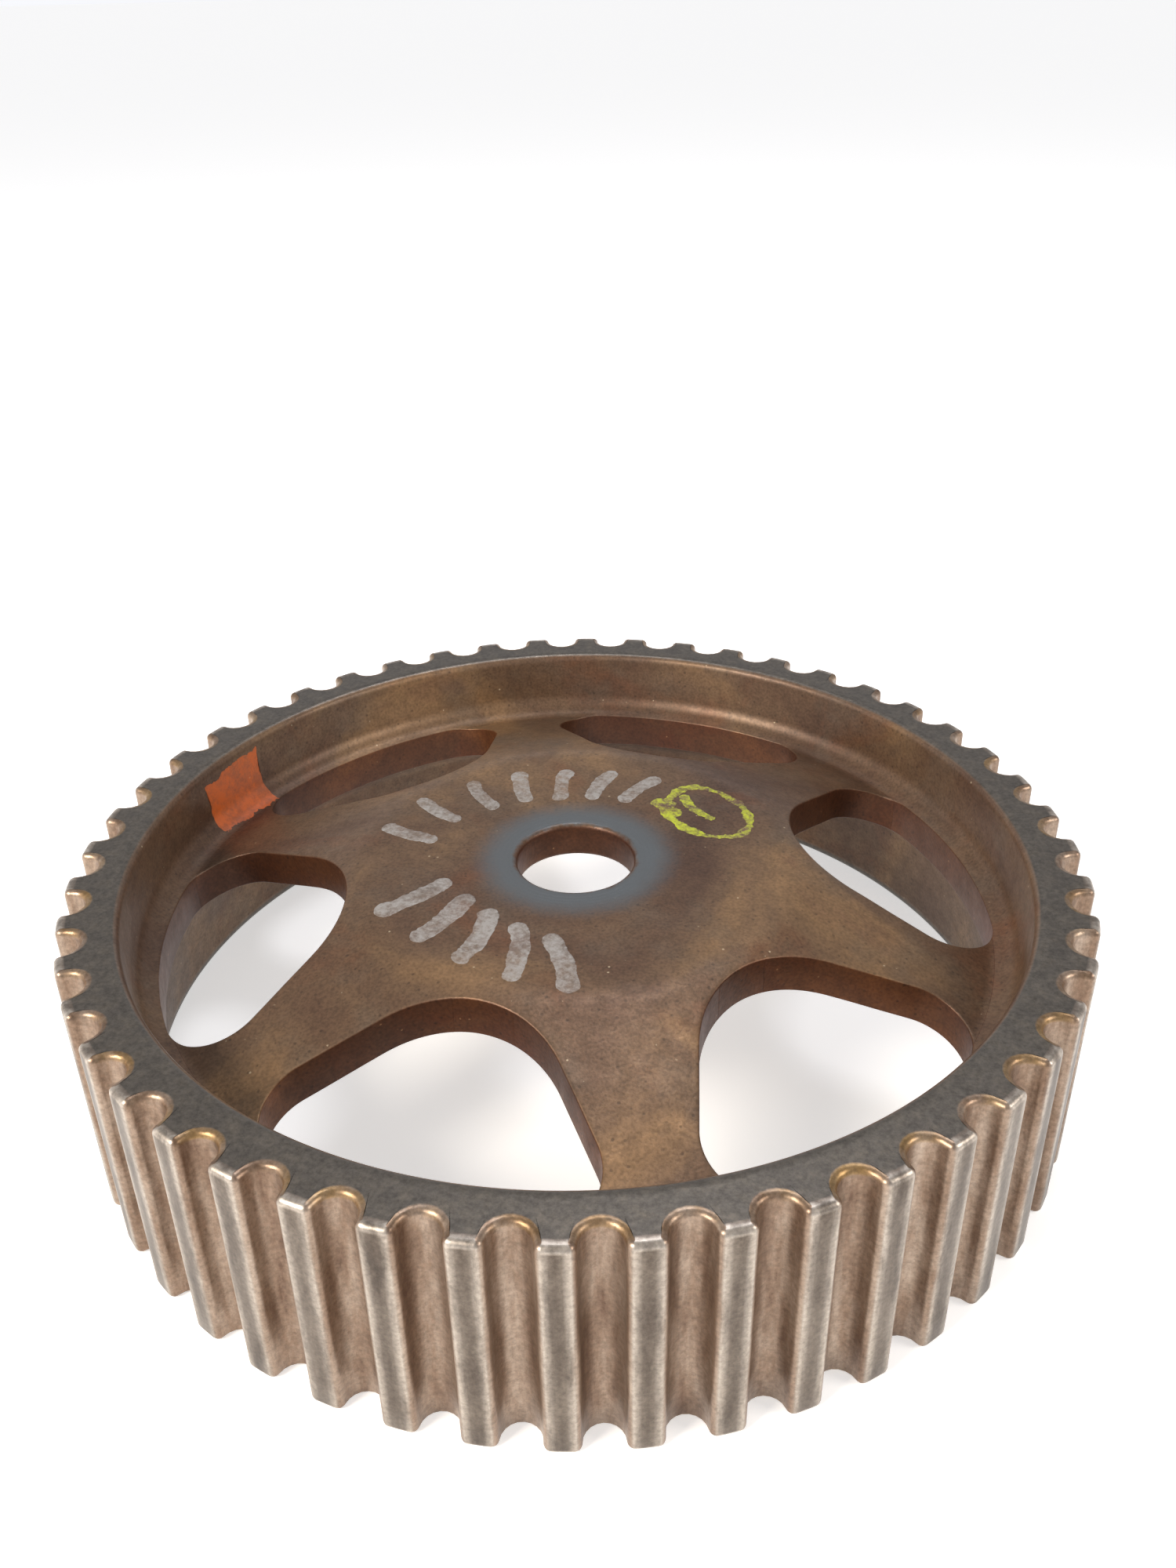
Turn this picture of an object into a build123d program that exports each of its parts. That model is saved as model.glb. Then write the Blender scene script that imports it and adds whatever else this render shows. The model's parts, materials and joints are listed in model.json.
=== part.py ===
# Timing belt pulley: a 48-tooth camshaft sprocket, pressed and sintered from iron powder.
#
# The real thing is one rigid piece. It is modelled here as its members, each in a node of its own:
# the toothed rim, six spokes of the dished web, and the hub plate with the bore. The members meet
# face to face on two cylinders, so together they are exactly the whole sintered blank.
#
# Frame: the bore's axis is Z, the back edge of the rim lies on z = 0, the front face looks up +Z,
# and the middle of spoke 1 points along +X. All sizes are in millimetres.

from build123d import *
from math import asin, atan2, cos, pi, radians, sin, tan
import os

# ---------------------------------------------------------------- driving dimensions
teeth = 48
belt_pitch = 9.525  # measured along the belt's pitch line
pitch_line_gap = 0.686  # from the tooth tips out to the belt's pitch line
groove_depth = 3.4
groove_radius = 2.45
tip_rounding = 0.95
tooth_bevel = 0.7  # broken edge round both ends of every tooth

rim_width = 33.2
rim_wall = 4.9  # metal between a groove's bottom and the rim's inner wall, at the front
rim_draft = 4.0  # degrees, so that the press tool lets go of the rim
rim_mouth_bevel = 1.2

hub_setback = 1.8  # the hub's front face lies this far behind the rim's front face
hub_flat_radius = 31.0
hub_shoulder_rounding = 14.0
web_thickness = 5.5
dish_angle = 17.4  # degrees, the web falls away from the hub towards the rim
web_to_rim_fillet = 3.5

bore_diameter = 17.0
bore_bevel = 0.8

spokes = 6
window_inner_edge = 33.2  # nearest point of a window to the axis
window_nose_share = 0.6214  # radius of a window's nose, as a share of the window's depth
spoke_rim_width = 7.3  # between two windows' straight sides, carried on to the windows' outer edges
window_rim_ledge = 2.7  # web left standing between a window and the rim's inner wall
window_corner_share = 0.259  # radius of a window's two corners at the rim, likewise
window_edge_bevel = 0.4

hub_joint_overhang = 0.8  # the hub node ends this far outside the windows' inner edges
rim_joint_overhang = 0.4  # the rim node starts this far inside the windows' outer edges

# ---------------------------------------------------------------- sizes that follow
pitch_radius = teeth * belt_pitch / (2 * pi)
tip_radius = pitch_radius - pitch_line_gap
root_radius = tip_radius - groove_depth
groove_centre_radius = root_radius + groove_radius
tooth_angle = 360 / teeth
spoke_angle = 360 / spokes

hub_front = rim_width - hub_setback
bore_radius = bore_diameter / 2
dish = radians(dish_angle)
mouth_radius = root_radius - rim_wall
draft_rate = tan(radians(rim_draft))
under_flat_radius = hub_flat_radius - web_thickness * tan(dish / 2)


def web_front(r):
    """Height of the web's front surface at radius r, outside the flat of the hub."""
    return hub_front - (r - hub_flat_radius) * tan(dish)


def web_back(r):
    """Height of the web's back surface, one wall thickness behind the front, square to it."""
    return web_front(r) - web_thickness / cos(dish)


# The rim's inner wall leans in from its mouth to where the web's front surface meets it.
fall_to_web = rim_width - web_front(mouth_radius)
wall_radius = mouth_radius - fall_to_web * draft_rate
wall_front = web_front(wall_radius)
wall_back = web_back(wall_radius)
back_mouth_radius = wall_radius + wall_back * draft_rate

window_outer_edge = wall_radius - window_rim_ledge
window_depth = window_outer_edge - window_inner_edge
window_nose_radius = window_nose_share * window_depth
window_corner_radius = window_corner_share * window_depth
nose_centre = window_inner_edge + window_nose_radius
hub_joint_radius = window_inner_edge + hub_joint_overhang
rim_joint_radius = window_outer_edge - rim_joint_overhang


# ---------------------------------------------------------------- one window of the web
# A round nose towards the hub, two straight sides tangent to it, and an edge along the rim. The
# straight sides end where they leave the spoke its width.
corner_angle = pi / spokes - asin(spoke_rim_width / 2 / window_outer_edge)
corner = Vector(window_outer_edge * cos(corner_angle), window_outer_edge * sin(corner_angle))
reach = corner - Vector(nose_centre, 0)
side = atan2(reach.Y, reach.X) - asin(window_nose_radius / reach.length)
nose_end = Vector(nose_centre - window_nose_radius * sin(side), window_nose_radius * cos(side))

with BuildSketch() as window:
    with BuildLine():
        Line(nose_end, corner)
        ThreePointArc(corner, (window_outer_edge, 0), (corner.X, -corner.Y))
        Line((corner.X, -corner.Y), (nose_end.X, -nose_end.Y))
        ThreePointArc((nose_end.X, -nose_end.Y), (window_inner_edge, 0), nose_end)
    make_face()
    fillet(window.vertices().sort_by(Axis.X)[-2:], radius=window_corner_radius)


# ---------------------------------------------------------------- the blank: hub, web and rim body
with BuildPart() as blank:
    with BuildSketch(Plane.XZ):
        with BuildLine():
            Polyline(
                (bore_radius, web_back(under_flat_radius)),
                (bore_radius, hub_front),
                (hub_flat_radius, hub_front),
                (wall_radius, wall_front),
                (mouth_radius, rim_width - rim_mouth_bevel),
                (mouth_radius + rim_mouth_bevel, rim_width),
                (pitch_radius, rim_width),
                (pitch_radius, 0),
                (back_mouth_radius + rim_mouth_bevel, 0),
                (back_mouth_radius, rim_mouth_bevel),
                (wall_radius, wall_back),
                (under_flat_radius, web_back(under_flat_radius)),
                close=True,
            )
        section = make_face()
        chamfer(section.vertices().sort_by(Axis.X)[0:2], length=bore_bevel)
        rim_corners = section.vertices().sort_by(lambda v: abs(v.X - wall_radius))[0:2]
        fillet(rim_corners, radius=web_to_rim_fillet)
        shoulders = section.vertices().filter_by(
            lambda v: under_flat_radius - 0.01 <= v.X <= hub_flat_radius + 0.01
        )
        fillet(shoulders, radius=hub_shoulder_rounding)
    revolve(axis=Axis.Z)

    with BuildSketch():
        with PolarLocations(0, spokes, start_angle=spoke_angle / 2):
            add(window.sketch)
    extrude(amount=rim_width, mode=Mode.SUBTRACT)
    window_rims = blank.edges(Select.NEW).filter_by(Axis.Z, reverse=True)
    chamfer(window_rims, length=window_edge_bevel)


# ---------------------------------------------------------------- hub: plate, shoulder and bore
with BuildPart() as hub:
    add(blank.part)
    Cylinder(
        hub_joint_radius,
        rim_width,
        align=(Align.CENTER, Align.CENTER, Align.MIN),
        mode=Mode.INTERSECT,
    )
hub.part.label = "hub"


# ---------------------------------------------------------------- spokes
def make_spoke(number):
    """The sixth of the web between the hub and the rim whose middle lies at the spoke's angle."""
    start = (number - 1) * spoke_angle - spoke_angle / 2
    with BuildPart() as spoke:
        add(blank.part)
        with BuildSketch():
            with BuildLine():
                inner = CenterArc((0, 0), hub_joint_radius, start, spoke_angle)
                outer = CenterArc((0, 0), rim_joint_radius, start, spoke_angle)
                Line(inner @ 0, outer @ 0)
                Line(inner @ 1, outer @ 1)
            make_face()
        extrude(amount=rim_width, mode=Mode.INTERSECT)
    spoke.part.label = f"spoke_{number}"
    return spoke.part


# ---------------------------------------------------------------- toothed rim
with BuildPart() as toothed_rim:
    with BuildSketch() as tooth_outline:
        Circle(tip_radius)
        with PolarLocations(groove_centre_radius, teeth):
            Circle(groove_radius, mode=Mode.SUBTRACT)
        fillet(tooth_outline.vertices(), radius=tip_rounding)
    extrude(amount=rim_width)
    tooth_ends = toothed_rim.edges().filter_by(Axis.Z, reverse=True)
    chamfer(tooth_ends, length=tooth_bevel)
    add(blank.part, mode=Mode.INTERSECT)
    Cylinder(
        rim_joint_radius,
        rim_width,
        align=(Align.CENTER, Align.CENTER, Align.MIN),
        mode=Mode.SUBTRACT,
    )
toothed_rim.part.label = "toothed_rim"


# ---------------------------------------------------------------- one file for each member
os.makedirs("parts", exist_ok=True)
export_step(toothed_rim.part, "parts/toothed_rim.step")
export_step(hub.part, "parts/hub.step")
for number in range(1, spokes + 1):
    member = make_spoke(number)
    export_step(member, f"parts/{member.label}.step")
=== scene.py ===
# %% [markdown]
# # A worn timing belt pulley
# The real pulley is one piece of iron powder, pressed in a die, sintered and run for years in
# oily air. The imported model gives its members: a toothed rim, six spokes and a hub. The packed
# solids have the right sizes but plain flat bevels, so this lesson lays finished surfaces over
# them: rounded tooth lips, eased window edges, a slightly uneven cast skin, and then the rust,
# polish, oil and paint.

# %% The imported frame
import json
import math
import bpy
import numpy as np
from mathutils import Matrix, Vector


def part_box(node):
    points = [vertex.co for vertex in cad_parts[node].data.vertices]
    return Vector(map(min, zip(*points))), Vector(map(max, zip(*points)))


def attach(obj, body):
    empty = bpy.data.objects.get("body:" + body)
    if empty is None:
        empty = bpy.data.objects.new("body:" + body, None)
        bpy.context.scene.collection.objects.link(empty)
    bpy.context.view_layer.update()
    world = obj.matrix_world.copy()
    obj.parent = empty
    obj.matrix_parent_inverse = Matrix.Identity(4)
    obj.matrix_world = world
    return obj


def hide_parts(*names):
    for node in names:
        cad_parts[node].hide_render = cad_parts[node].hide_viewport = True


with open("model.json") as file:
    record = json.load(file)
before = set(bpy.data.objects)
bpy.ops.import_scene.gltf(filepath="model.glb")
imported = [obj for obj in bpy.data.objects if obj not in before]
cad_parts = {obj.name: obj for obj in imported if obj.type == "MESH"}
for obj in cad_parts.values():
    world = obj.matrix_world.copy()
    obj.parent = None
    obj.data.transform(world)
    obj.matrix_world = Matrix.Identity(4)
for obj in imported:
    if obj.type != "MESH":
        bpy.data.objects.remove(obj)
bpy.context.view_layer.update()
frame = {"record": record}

scene = bpy.context.scene
MM = 0.001

# %% [markdown]
# ## Sizes
# Everything is worked in millimetres and handed to Blender in metres. What the frame can say is
# read from it: the widths, the hub's height, where the members meet, and the bore from its mount.
# The rest are the driving dimensions of the design: the belt's pitch, the tooth form and the dish
# of the web.

# %% Sizes read from the frame
def box_mm(node):
    """Lowest and highest corner of a CAD node, in millimetres."""
    low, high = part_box(node)
    return np.array(low) / MM, np.array(high) / MM


mounts = {mount["name"]: mount for mount in frame["record"]["mounts"]}
RIM_WIDTH = box_mm("toothed_rim")[1][2]
HUB_FRONT = box_mm("hub")[1][2]
HUB_JOINT = box_mm("hub")[1][0]
RIM_JOINT = box_mm("spoke_1")[1][0]
BORE = mounts["bore"]["dims"]["r_mm"]
SEAT = mounts["hub_back"]["pos_m"][2] / MM
print(f"rim {RIM_WIDTH:.2f} wide, hub front at {HUB_FRONT:.2f}")
print(f"members meet at radii {HUB_JOINT:.2f} and {RIM_JOINT:.2f}")

# %% Driving dimensions of the teeth, the rim and the web
TEETH = 48
SPOKES = 6
PITCH = 9.525
TIP = TEETH * PITCH / (2 * math.pi) - 0.686
GROOVE_DEPTH = 3.4
GROOVE_RADIUS = 2.45
TIP_ROUND = 0.95
LIP = 0.85
ROOT = TIP - GROOVE_DEPTH
MOUTH = ROOT - 4.9
MOUTH_BEVEL = 1.2
DRAFT = math.radians(4.0)
DISH = math.radians(17.4)
WEB = HUB_FRONT - SEAT
HUB_FLAT = 31.0
SHOULDER = 14.0
RIM_FILLET = 3.5
BORE_BEVEL = 0.8
WINDOW_INNER = 33.2
NOSE = 16.8
NOSE_CENTRE = WINDOW_INNER + NOSE
SIDE = math.radians(43.6)
CORNER = 7.0
LEDGE = 2.7
EDGE = 0.28
print(f"tips at {TIP:.2f}, CAD box half {box_mm('toothed_rim')[1][0]:.2f}, web {WEB:.2f} thick")

# %% [markdown]
# ## Camera
# The pulley lies on its back edge and is seen from about 30 degrees above the bench, from close
# by, so the near teeth look much larger than the far ones. Perspective this strong needs the
# right distance: the camera stands 217 mm from the middle of the rim's back plane. It is set up
# first, because the view decides how much detail each surface deserves.

# %% Camera
CAMERA_AZIMUTH = math.radians(-68.78)
CAMERA_REACH = 163.8
CAMERA_HEIGHT = 141.75
LOOK_DOWN = math.radians(30.06)
HEADING = math.radians(110.917)
ROLL = math.radians(1.303)

right = np.array([math.sin(HEADING), -math.cos(HEADING), 0.0])
ahead = np.array([
    math.cos(LOOK_DOWN) * math.cos(HEADING),
    math.cos(LOOK_DOWN) * math.sin(HEADING),
    -math.sin(LOOK_DOWN),
])
up = np.cross(right, ahead)
level_right = right * math.cos(ROLL) - up * math.sin(ROLL)
level_up = right * math.sin(ROLL) + up * math.cos(ROLL)

camera_data = bpy.data.cameras.new("bench_camera")
camera = bpy.data.objects.new("bench_camera", camera_data)
scene.collection.objects.link(camera)
scene.camera = camera
pose = np.eye(4)
pose[:3, 0] = level_right
pose[:3, 1] = level_up
pose[:3, 2] = -ahead
pose[:3, 3] = np.array([
    CAMERA_REACH * math.cos(CAMERA_AZIMUTH),
    CAMERA_REACH * math.sin(CAMERA_AZIMUTH),
    CAMERA_HEIGHT,
]) * MM
camera.matrix_world = Matrix(pose)
camera_data.lens = 31.1
camera_data.sensor_width = 36.0
camera_data.shift_x = 0.0054
camera_data.shift_y = -0.0128
camera_data.clip_start = 0.01
print("camera at", (pose[:3, 3] / MM).round(1), "mm")

# %% [markdown]
# ## Floor and light
# A plain pale floor, wide enough to reach the horizon, under a soft white sky. One large lamp
# stands near the camera, as a window would, so that the tooth lands catch it. A weaker one hangs
# overhead and draws the soft sheen on the web, and a third fills the shade on the far side of the
# window.

# %% Colours
def linear(code):
    """An sRGB hex colour as linear RGBA.

    Each channel c becomes c / 12.92 below 0.04045, or ((c + 0.055) / 1.055) to the power 2.4.
    """
    channels = np.array([int(code[i:i + 2], 16) for i in (1, 3, 5)]) / 255
    bright = ((channels + 0.055) / 1.055) ** 2.4
    return (*np.where(channels < 0.04045, channels / 12.92, bright).tolist(), 1.0)


print("mid grey is", np.round(linear("#808080"), 3))

# %% One function for every node
def add(tree, kind, inputs=(), out=0, stops=(), **settings):
    """Adds a node and returns one of its outputs, or None for a node that has none.

    An input is given a value, or a link if the value is another node's output. Stops are a colour
    ramp's places and hex colours.
    """
    made = tree.nodes.new(kind)
    for key, value in settings.items():
        setattr(made, key, value)
    for key, value in dict(inputs).items():
        if isinstance(value, bpy.types.NodeSocket):
            tree.links.new(value, made.inputs[key])
        else:
            made.inputs[key].default_value = value
    for spare in range(len(stops) - 2):
        made.color_ramp.elements.new(0.5)
    for place, (position, colour) in enumerate(stops):
        made.color_ramp.elements[place].position = position
        made.color_ramp.elements[place].color = linear(colour)
    return made.outputs[out] if made.outputs else None


def new_material(name):
    """A material with an empty node tree, and that tree."""
    material = bpy.data.materials.new(name)
    material.use_nodes = True
    material.node_tree.nodes.clear()
    return material, material.node_tree

# %% Floor
FLOOR_RADIUS = 20000.0

turns = np.linspace(0, 2 * math.pi, 96, endpoint=False)
ring = np.stack([np.cos(turns), np.sin(turns), 0 * turns], axis=1) * FLOOR_RADIUS * MM
floor_mesh = bpy.data.meshes.new("floor")
floor_mesh.from_pydata(ring.tolist(), [], [list(range(len(ring)))])
floor = bpy.data.objects.new("floor", floor_mesh)
scene.collection.objects.link(floor)

paper, tree = new_material("matt_white_paper")
sheet = add(tree, "ShaderNodeBsdfPrincipled", {
    "Base Color": linear("#efeeec"), "Roughness": 0.9, "Specular IOR Level": 0.1,
    "Emission Color": linear("#ffffff"), "Emission Strength": 0.55,
})
add(tree, "ShaderNodeOutputMaterial", {"Surface": sheet})
floor_mesh.materials.append(paper)
print("floor", 2 * FLOOR_RADIUS * MM, "m across")

# %% Sky
world = bpy.data.worlds.new("studio")
scene.world = world
world.use_nodes = True
tree = world.node_tree
tree.nodes.clear()
direction = add(tree, "ShaderNodeTexCoord", out="Generated")
height = add(tree, "ShaderNodeSeparateXYZ", {0: direction}, out="Z")
brightness = add(tree, "ShaderNodeMapRange", {
    "Value": height, "From Min": 0.12, "From Max": 0.55, "To Min": 1.0, "To Max": 0.42,
}, interpolation_type="SMOOTHSTEP")
leftward = add(
    tree, "ShaderNodeVectorMath", {0: direction, 1: (-0.94, -0.34, 0.0)}, "Value",
    operation="DOT_PRODUCT",
)
lean = add(tree, "ShaderNodeMapRange", {
    "Value": leftward, "From Min": -1.0, "To Min": 0.72, "To Max": 1.12,
})
strength = add(tree, "ShaderNodeMath", {0: brightness, 1: lean}, operation="MULTIPLY")
sky = add(tree, "ShaderNodeBackground", {"Color": linear("#fafbff"), "Strength": strength})
add(tree, "ShaderNodeOutputWorld", {"Surface": sky})
scene.view_settings.view_transform = "Standard"

# %% Lamps
def lamp(name, azimuth, height, reach, size, power, colour):
    """A square area lamp at an azimuth (degrees), height and reach (mm), aimed at the hub."""
    data = bpy.data.lights.new(name, "AREA")
    data.size = size * MM
    data.energy = power
    data.color = linear(colour)[:3]
    made = bpy.data.objects.new(name, data)
    turn = math.radians(azimuth)
    place = np.array([reach * math.cos(turn), reach * math.sin(turn), height])
    back = (place - [0, 0, HUB_FRONT]) / np.linalg.norm(place - [0, 0, HUB_FRONT])
    side = np.cross([0, 0, 1.0], back)
    side /= np.linalg.norm(side)
    pose = np.eye(4)
    pose[:3] = np.column_stack([side, np.cross(back, side), back, place * MM])
    made.matrix_world = Matrix(pose)
    scene.collection.objects.link(made)


lamp("window_light", -122, 400, 520, 220, 4.5, "#fff6ea")
lamp("ceiling_light", 95, 820, 300, 240, 1.9, "#f6f8ff")
lamp("side_fill", 0, 360, 560, 260, 1.7, "#fff8f0")

# %% [markdown]
# ## The shapes that all pieces share
# The web is one dished surface cut by six windows, so the hub, the spokes and the rim's ledge
# have to agree on its height wherever they meet. Four functions of position settle it: the height
# of the front and of the back at a radius, the distance to the nearest window edge, and a slow
# unevenness of the pressed skin. Each piece then samples them on its own grid.

# %% Turning a sharp profile corner into an arc
def round_corner(before, corner, after, radius):
    """Centre of the arc that touches both sides of a corner, and its two touching points.

    The touching points lie radius / tan(half the corner's angle) from the corner, and the centre
    lies radius / sin(half the angle) along the bisector.
    """
    before, corner, after = (np.array(p, dtype=float) for p in (before, corner, after))
    one = (before - corner) / np.linalg.norm(before - corner)
    two = (after - corner) / np.linalg.norm(after - corner)
    half = math.acos(float(one @ two)) / 2
    middle = (one + two) / np.linalg.norm(one + two)
    centre = corner + middle * radius / math.sin(half)
    return centre, corner + one * radius / math.tan(half), corner + two * radius / math.tan(half)


def arc(centre, start, end, count):
    """Points on the shorter arc about a centre between two points, evenly spaced in angle."""
    first = math.atan2(*(start - centre)[::-1])
    sweep = (math.atan2(*(end - centre)[::-1]) - first + math.pi) % (2 * math.pi) - math.pi
    angles = first + sweep * np.linspace(0, 1, count)
    radius = np.linalg.norm(start - centre)
    return centre + radius * np.stack([np.cos(angles), np.sin(angles)], axis=1)


SLOPE = math.tan(DISH)
UNDER_FLAT = HUB_FLAT - WEB * math.tan(DISH / 2)
WEB_DROP = WEB / math.cos(DISH)
WALL = MOUTH - (RIM_WIDTH - HUB_FRONT + (MOUTH - HUB_FLAT) * SLOPE) * math.tan(DRAFT)
WALL_FRONT = HUB_FRONT - (WALL - HUB_FLAT) * SLOPE
WALL_BACK = WALL_FRONT - WEB_DROP
BACK_MOUTH = WALL + WALL_BACK * math.tan(DRAFT)
WINDOW_OUTER = WALL - LEDGE

FRONT_FILLET = round_corner(
    (HUB_FLAT, HUB_FRONT), (WALL, WALL_FRONT), (MOUTH, RIM_WIDTH - MOUTH_BEVEL), RIM_FILLET
)
BACK_FILLET = round_corner(
    (UNDER_FLAT, SEAT), (WALL, WALL_BACK), (BACK_MOUTH, MOUTH_BEVEL), RIM_FILLET
)
print(f"web meets the rim at r {WALL:.2f}, z {WALL_FRONT:.2f} and {WALL_BACK:.2f}")
print("front fillet touches at", FRONT_FILLET[1].round(2), FRONT_FILLET[2].round(2))

# %% Heights of the web's two faces
def dished(r, flat_radius, flat_height):
    """Flat to the shoulder, then a 14 mm arc, then a cone: each part is chosen by radius."""
    start = flat_radius - SHOULDER * math.tan(DISH / 2)
    end = start + SHOULDER * math.sin(DISH)
    bend = flat_height - SHOULDER + np.sqrt(np.clip(SHOULDER**2 - (r - start) ** 2, 0, None))
    cone = flat_height - (r - flat_radius) * SLOPE
    return np.where(r < start, flat_height, np.where(r < end, bend, cone))


def front_height(r):
    """The dished front; beyond the fillet's foot it climbs the arc towards the rim's wall."""
    centre, foot, _ = FRONT_FILLET
    climb = centre[1] - np.sqrt(np.clip(RIM_FILLET**2 - (r - centre[0]) ** 2, 0, None))
    return np.where(r < foot[0], dished(r, HUB_FLAT, HUB_FRONT), climb)


def back_height(r):
    """The dished back, one wall thickness behind the front, with its own arc to the wall."""
    centre, foot, _ = BACK_FILLET
    drop = centre[1] + np.sqrt(np.clip(RIM_FILLET**2 - (r - centre[0]) ** 2, 0, None))
    return np.where(r < foot[0], dished(r, UNDER_FLAT, SEAT), drop)


print("web heights at r 20, 45, 59:", front_height(np.array([20, 45, 59.0])).round(2))

# %% Distance to the nearest window
SIXTH = 2 * math.pi / SPOKES
NOSE_END = np.array([NOSE_CENTRE - NOSE * math.sin(SIDE), NOSE * math.cos(SIDE)])
SIDE_RUN = np.array([math.cos(SIDE), math.sin(SIDE)])
SIDE_OUT = np.array([-math.sin(SIDE), math.cos(SIDE)])
CORNER_REACH = WINDOW_OUTER - CORNER
LINE_GAP = float(NOSE_END @ SIDE_OUT) - CORNER
CORNER_ANGLE = SIDE + math.asin(LINE_GAP / CORNER_REACH)
CORNER_CENTRE = CORNER_REACH * np.array([math.cos(CORNER_ANGLE), math.sin(CORNER_ANGLE)])
SIDE_LENGTH = float((CORNER_CENTRE - NOSE_END) @ SIDE_RUN)


def from_window(azimuth):
    """Angle from the middle line of the nearest window, the same on either side of it."""
    return np.abs(azimuth % SIXTH - SIXTH / 2)


def window_gap(x, y):
    """Distance in the plane from a point to the nearest window's edge, negative inside a window.

    The point is turned to the nearest window and folded about its middle line. It is then measured
    to the round nose, the straight side, the corner's arc or the outer edge, whichever faces it.
    """
    radius, local = np.hypot(x, y), from_window(np.arctan2(y, x))
    px, py = radius * np.cos(local), radius * np.sin(local)
    along = (px - NOSE_END[0]) * SIDE_RUN[0] + (py - NOSE_END[1]) * SIDE_RUN[1]
    to_nose = np.hypot(px - NOSE_CENTRE, py) - NOSE
    to_side = (px - NOSE_END[0]) * SIDE_OUT[0] + (py - NOSE_END[1]) * SIDE_OUT[1]
    to_corner = np.hypot(px - CORNER_CENTRE[0], py - CORNER_CENTRE[1]) - CORNER
    near = np.where(along < 0, to_nose, np.where(along < SIDE_LENGTH, to_side, to_corner))
    return np.where((local < CORNER_ANGLE) & (radius > CORNER_REACH), radius - WINDOW_OUTER, near)


def window_half_angle(r):
    """Half the angle that a window takes up at a radius: nose, then straight side, then corner."""
    nose = np.arccos(np.clip((r**2 + NOSE_CENTRE**2 - NOSE**2) / (2 * r * NOSE_CENTRE), -1, 1))
    side = SIDE + np.arcsin((LINE_GAP + CORNER) / r)
    turn = np.clip((r**2 + CORNER_REACH**2 - CORNER**2) / (2 * r * CORNER_REACH), -1, 1)
    corner = CORNER_ANGLE + np.arccos(turn)
    nose_to, side_to = np.hypot(*NOSE_END), np.hypot(*(NOSE_END + SIDE_RUN * SIDE_LENGTH))
    return np.where(r < nose_to, nose, np.where(r < side_to, side, corner))


print(f"corner centre {CORNER_REACH:.2f} out at {math.degrees(CORNER_ANGLE):.2f} degrees")
test_radii = np.array([34.0, 38, 42, 48, 53, 57, 59.8])
test_angles = window_half_angle(test_radii) + SIXTH / 2
on_edge = window_gap(test_radii * np.cos(test_angles), test_radii * np.sin(test_angles))
print("edge check:", on_edge.round(4))

# %% The uneven skin and the eased edges
SKIN = 0.105
SKIN_FROM, SKIN_TO, SKIN_FADE = 9.5, 63.0, 3.0
WAVES = 14
draw = np.random.default_rng(7).uniform
WAVE_HEADING = draw(0, 2 * math.pi, WAVES)
WAVE_LENGTH = draw(6.0, 22.0, WAVES)
WAVE_START = draw(0, 2 * math.pi, WAVES)


def skin(x, y):
    """The mean of fourteen plane waves 6 to 22 mm long, faded out at the bore and the rim."""
    run = x[..., None] * np.cos(WAVE_HEADING) + y[..., None] * np.sin(WAVE_HEADING)
    swell = np.sin(run * 2 * math.pi / WAVE_LENGTH + WAVE_START).mean(axis=-1)
    radius = np.hypot(x, y)
    inside = np.clip((SKIN_TO - radius) / SKIN_FADE, 0, 1)
    fade = inside * np.clip((radius - SKIN_FROM) / SKIN_FADE, 0, 1)
    return SKIN * swell * fade


def eased(gap):
    """Drop of a quarter-round edge at a distance in from it: e - sqrt(e^2 - (e - gap)^2)."""
    inner = np.clip(EDGE - gap, 0, EDGE)
    return EDGE - np.sqrt(EDGE**2 - inner**2)


def web_front(x, y):
    """Height of the finished front at a point: the dish, the skin and the eased window edge."""
    return front_height(np.hypot(x, y)) + skin(x, y) - eased(window_gap(x, y))


def web_back(x, y):
    """Height of the finished back at a point."""
    return back_height(np.hypot(x, y)) + skin(y, x) + eased(window_gap(x, y))


test_line = np.linspace(-40, 40, 50)
print("skin is uneven by", np.ptp(skin(*np.meshgrid(test_line, test_line))).round(3), "mm")

# %% Putting a grid of points into a mesh
def grid_faces(rows, columns, wrap_rows=True, wrap_columns=True):
    """Four-sided faces of a grid of points, which may close on itself either way."""
    i = np.arange(rows if wrap_rows else rows - 1)[:, None]
    j = np.arange(columns if wrap_columns else columns - 1)[None, :]
    below, beside = (i + 1) % rows, (j + 1) % columns
    here, under = i * columns, below * columns
    corners = [here + j, here + beside, under + beside, under + j]
    return np.stack([np.broadcast_to(c, (i.size, j.size)).ravel() for c in corners], axis=1)


def enclosed(points, faces):
    """Volume inside a mesh, negative if it is inside out.

    It is a sixth of a . (b x c), added up over the triangles; a four-sided face is two triangles.
    """
    a, b, c, d = (points[faces[:, k]] for k in range(4))
    return float((a * (np.cross(b, c) + np.cross(c, d))).sum() / 6)


SHARP = math.radians(34)


def make_piece(name, points, faces, caps=()):
    """A smooth mesh from points in millimetres, with its faces outward and its caps closed."""
    points = points.reshape(-1, 3)
    inside_out = enclosed(points, faces) < 0
    faces = faces[:, ::-1] if inside_out else faces
    ends = [list(cap)[::-1] if inside_out else list(cap) for cap in caps]
    mesh = bpy.data.meshes.new(name)
    mesh.from_pydata((points * MM).tolist(), [], faces.tolist() + ends)
    mesh.shade_smooth()
    mesh.set_sharp_from_angle(angle=SHARP)
    made = bpy.data.objects.new(name, mesh)
    scene.collection.objects.link(made)
    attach(made, "root")
    volume = abs(enclosed(points, faces)) / 1000
    print(f"{name}: {len(points)} points, {2 * len(faces)} triangles, {volume:.2f} cm3")
    return made


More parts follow.
